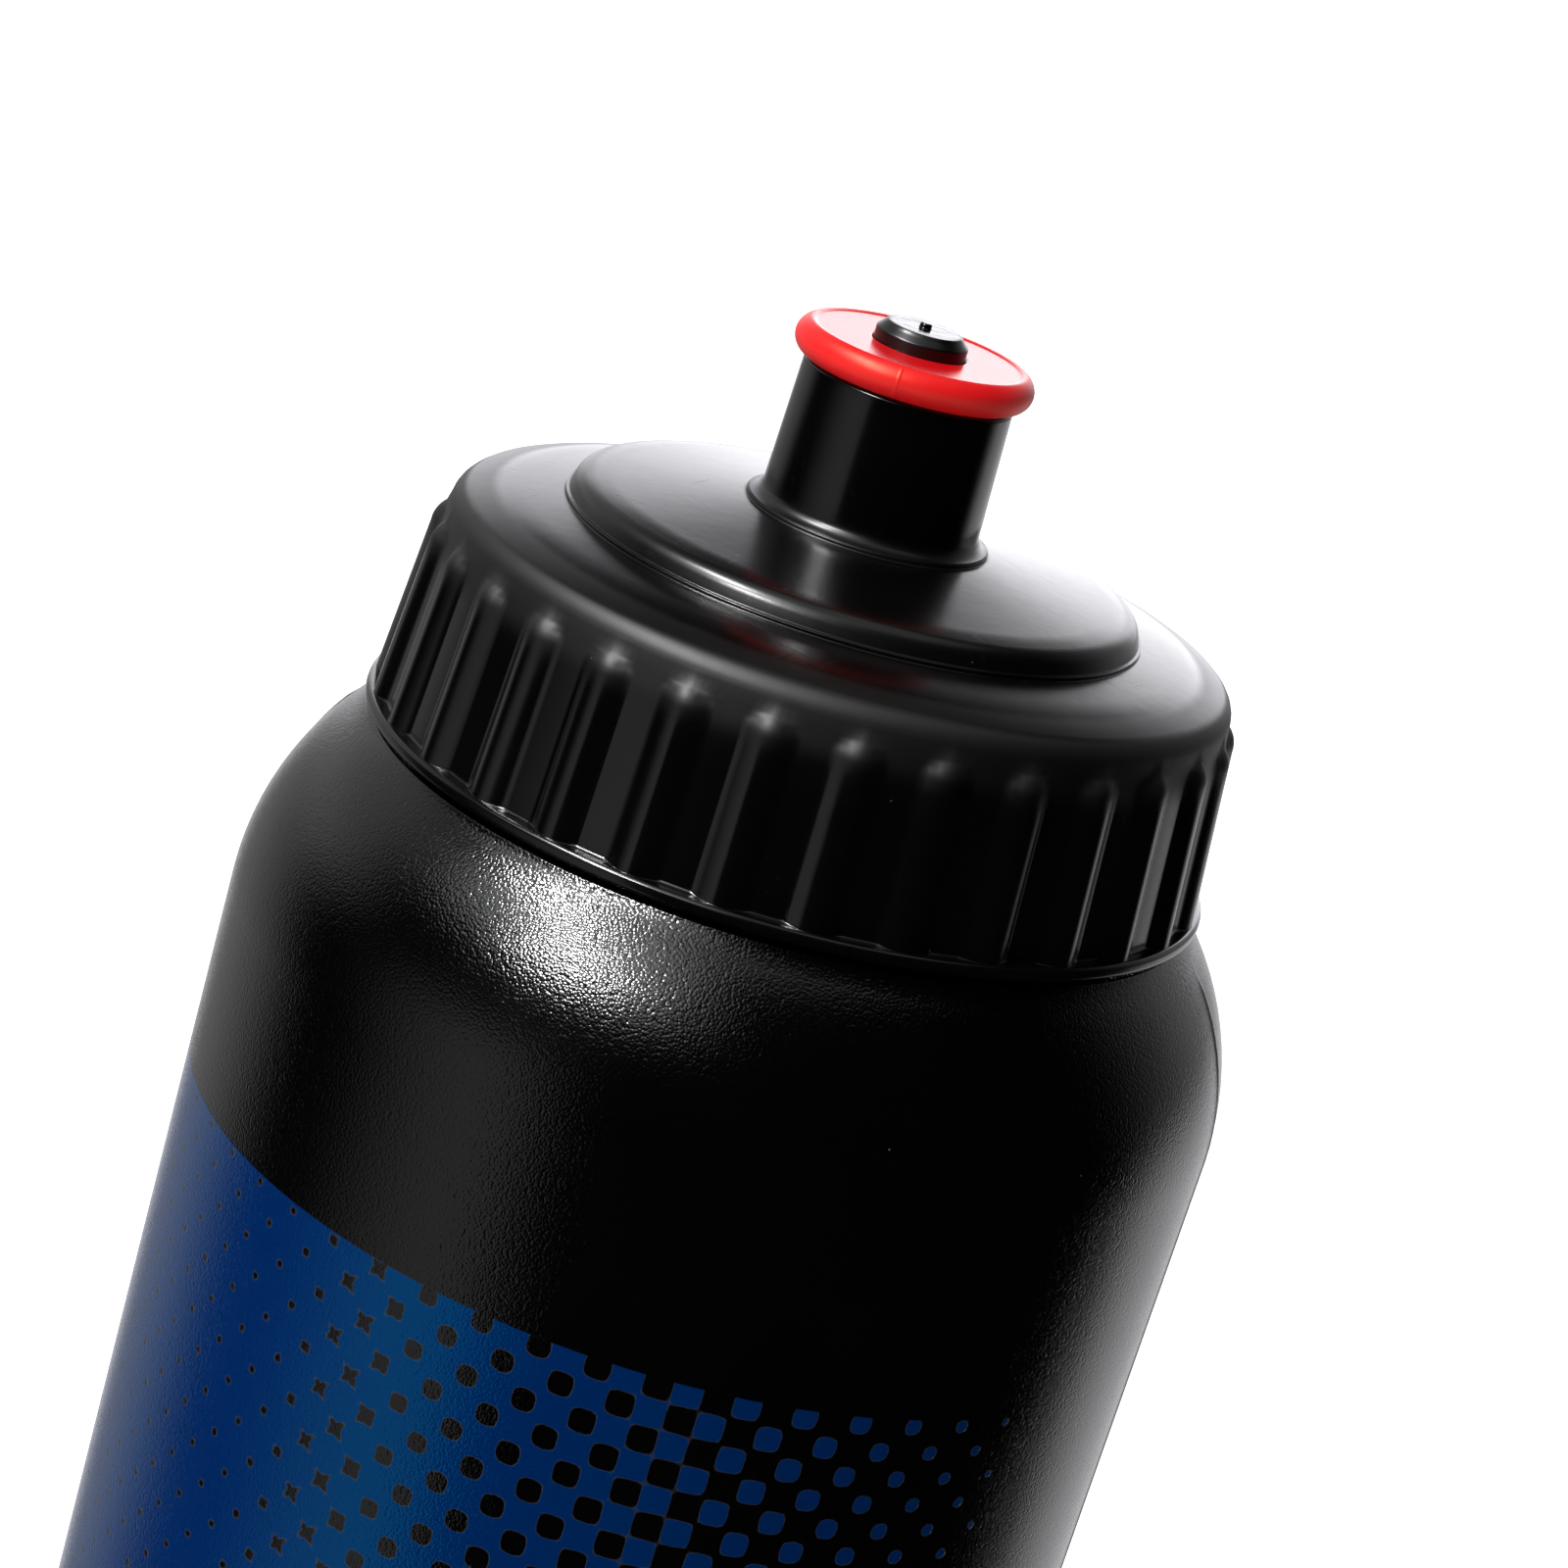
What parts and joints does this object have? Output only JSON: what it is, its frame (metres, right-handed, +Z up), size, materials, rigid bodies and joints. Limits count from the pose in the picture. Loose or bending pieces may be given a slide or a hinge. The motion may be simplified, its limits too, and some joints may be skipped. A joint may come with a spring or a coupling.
{
  "type": "sports squeeze bottle",
  "caption": "Wide-mouth squeeze bottle with a ribbed screw lid, a raised spout and a push-pull drinking valve.",
  "frame": {"origin": "centre of the base, on the surface that the bottle stands on", "axes": "+Z up along the bottle's axis; -Y is the front, where the printed panel changes from blue to black"},
  "size_m": [0.0852, 0.0852, 0.2548],
  "materials": {
    "bottle_shell": "finely pebbled semi-gloss with a printed blue dot-screen panel",
    "lid_plastic": "gloss",
    "gasket_rubber": "matt",
    "valve_plastic": "satin gloss"
  },
  "bodies": {
    "bottle": {"bottle_body": "bottle_shell"},
    "gasket": {"lid_gasket": "gasket_rubber"},
    "lid": {"screw_lid": "lid_plastic"},
    "valve": {"valve_cap": "valve_plastic"}
  },
  "joints": [
    {"name": "lid_rise", "type": "slide", "parent": "bottle", "child": "gasket", "axis": [0, 0, 1], "range_m": [0, 0.02]},
    {"name": "lid_turn", "type": "hinge", "parent": "gasket", "child": "lid", "pos_m": [0, 0, 0.213], "axis": [0, 0, 1], "range_deg": [0, 1440]},
    {"name": "valve_pull", "type": "slide", "parent": "lid", "child": "valve", "axis": [0, 0, 1], "range_m": [0, 0.0065]}
  ],
  "couplings": [
    {"joint": "lid_rise", "follows": "lid_turn", "m_per_rad": 0.00079577}
  ]
}
